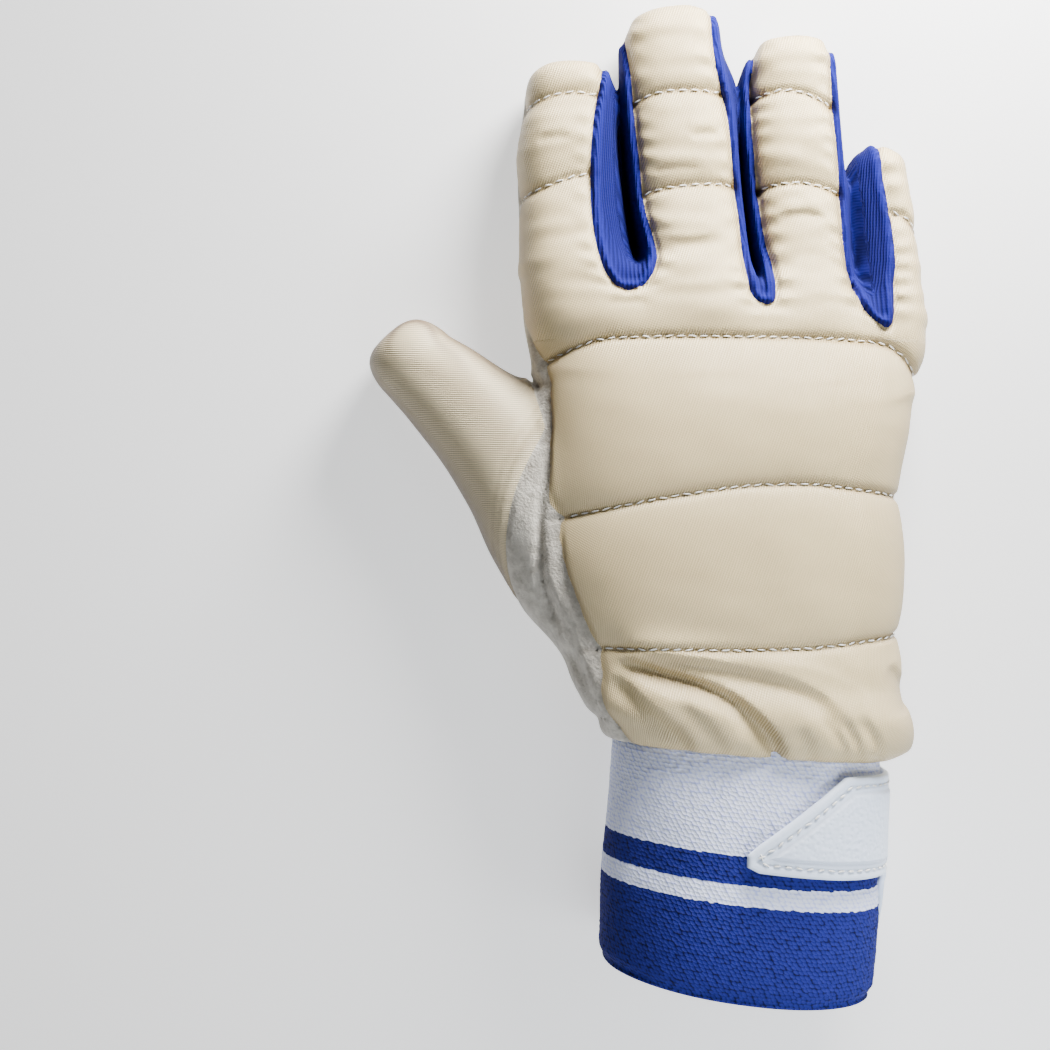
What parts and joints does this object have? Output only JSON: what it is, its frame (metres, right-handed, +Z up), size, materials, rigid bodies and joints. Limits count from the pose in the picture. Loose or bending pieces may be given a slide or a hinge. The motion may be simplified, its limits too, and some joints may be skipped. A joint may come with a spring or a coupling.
{
  "type": "wicketkeeping inner glove",
  "caption": "Right-hand padded inner glove with quilted back, suede palm, knitted finger gussets, elastic cuff and wrapping wrist strap, lying palm down",
  "frame": {"origin": "Bottom centre of the glove's box, on the surface that it lies on", "axes": "+Y points to the fingertips, +X to the little-finger side, +Z up out of the back of the hand"},
  "size_m": [0.1472, 0.2588, 0.0474],
  "materials": {
    "satin_knit": "satin",
    "suede": "matt nap",
    "gusset_knit": "fine rib knit",
    "jersey": "smooth jersey",
    "binding": "woven tape",
    "elastic": "knitted elastic, banded white and blue",
    "strap": "coated, fine grain"
  },
  "bodies": {
    "root": {"back_panel": "satin_knit", "palm_panel": "suede", "fourchette_index_middle": "gusset_knit", "fourchette_middle_ring": "gusset_knit", "fourchette_ring_little": "gusset_knit", "thumb_back": "jersey", "thumb_front": "suede", "thumb_base_band": "suede", "vent_binding": "binding", "wrist_cuff": "elastic", "wrist_strap": "strap"}
  },
  "joints": []
}
